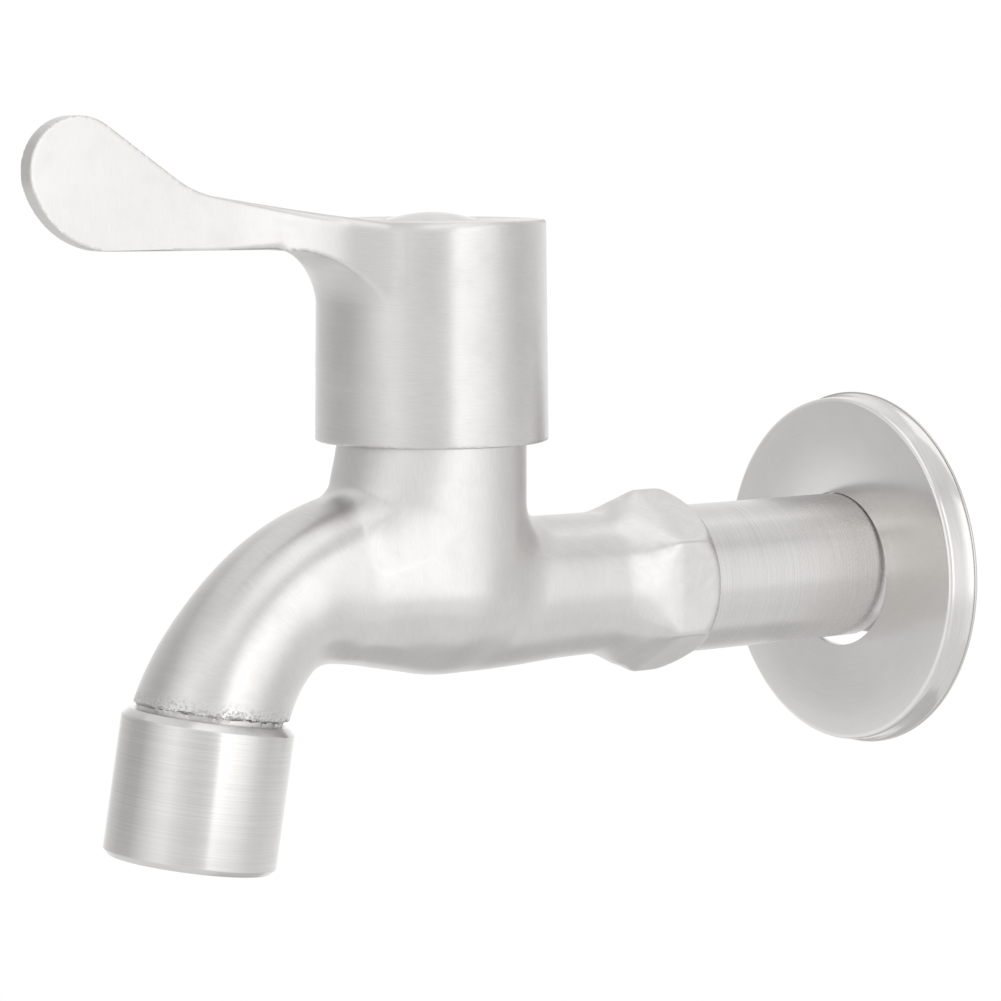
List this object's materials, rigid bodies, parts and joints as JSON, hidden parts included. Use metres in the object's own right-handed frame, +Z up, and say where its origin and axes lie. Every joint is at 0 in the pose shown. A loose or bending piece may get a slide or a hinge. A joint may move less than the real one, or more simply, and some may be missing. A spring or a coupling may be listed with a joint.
{
  "type": "wall tap",
  "caption": "Cold water wall tap in brushed stainless steel with a curved spout, a quarter-turn lever, an aerator collar and a cover flange on its wall tube.",
  "frame": {"origin": "where the inlet tube's axis meets the wall plane, at the cover flange's back rim", "axes": "+Z up, +Y along the inlet tube into the wall, the spout and the closed lever point to -Y"},
  "size_m": [0.0522, 0.1519, 0.0998],
  "materials": {
    "cast_steel": "satin, hand brushed casting",
    "handle_steel": "satin, brushed round the cap and up the blade",
    "tube_steel": "fine turned satin",
    "flange_steel": "pressed sheet, satin",
    "turned_steel": "turned satin",
    "screen_steel": "plain",
    "brass": "machined",
    "ceramic_disc": "lapped",
    "seal_rubber": "matt",
    "aerator_plastic": "moulded"
  },
  "bodies": {
    "tap": {"tap_body": "cast_steel", "inlet_tube": "tube_steel", "tube_washer": "seal_rubber", "outlet_collar": "turned_steel", "aerator_screens": "screen_steel", "aerator_core": "aerator_plastic", "aerator_washer": "seal_rubber", "bonnet": "brass", "bonnet_o_ring": "seal_rubber", "seat_seal": "seal_rubber", "seal_support_ring": "aerator_plastic", "fixed_disc": "ceramic_disc", "thrust_washer": "aerator_plastic"},
    "lever": {"lever_handle": "handle_steel", "handle_lock_washer": "screen_steel", "handle_screw": "turned_steel", "index_button": "turned_steel", "spindle": "brass", "spindle_o_rings": "seal_rubber", "spindle_circlip": "screen_steel", "moving_disc": "ceramic_disc"},
    "flange": {"wall_flange": "flange_steel"}
  },
  "joints": [
    {"name": "handle_turn", "type": "hinge", "parent": "tap", "child": "lever", "pos_m": [0, -0.0765, 0], "axis": [0, 0, 1], "range_deg": [0, 90]},
    {"name": "flange_slide", "type": "slide", "parent": "tap", "child": "flange", "axis": [0, -1, 0], "range_m": [0, 0.03]}
  ]
}
